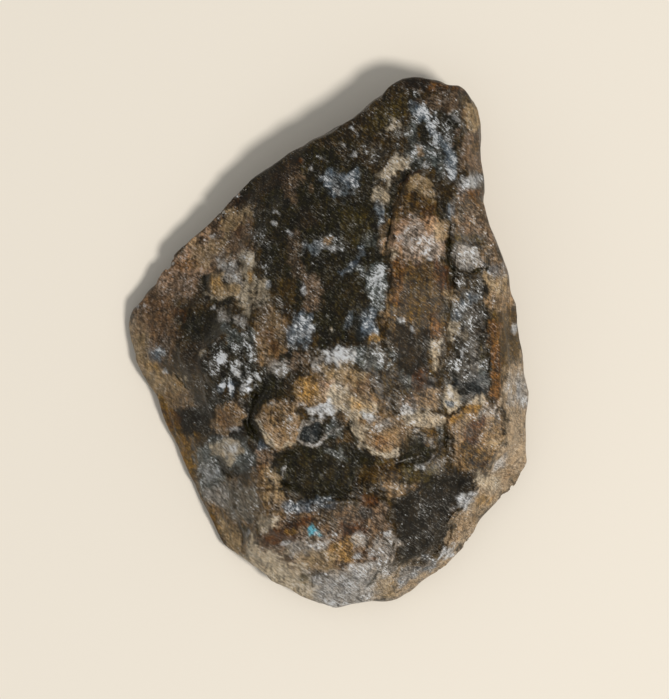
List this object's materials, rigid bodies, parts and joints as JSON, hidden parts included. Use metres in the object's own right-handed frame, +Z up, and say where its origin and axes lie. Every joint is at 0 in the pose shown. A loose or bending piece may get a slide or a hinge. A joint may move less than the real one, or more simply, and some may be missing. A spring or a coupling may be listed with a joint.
{
  "type": "labradorite specimen",
  "caption": "Rough, weathered lump of labradorite with a broken, plated upper face, lying on a flat cleavage face.",
  "frame": {"origin": "on the resting plane, under the middle of the stone's length and width", "axes": "+Z up; +Y along the stone's length and the grain of its upper face, towards its narrow tip"},
  "size_m": [0.057, 0.0756, 0.0196],
  "materials": {
    "labradorite": "rough, broken cleavage with glassy glints"
  },
  "bodies": {
    "root": {"labradorite_stone": "labradorite"}
  },
  "joints": []
}
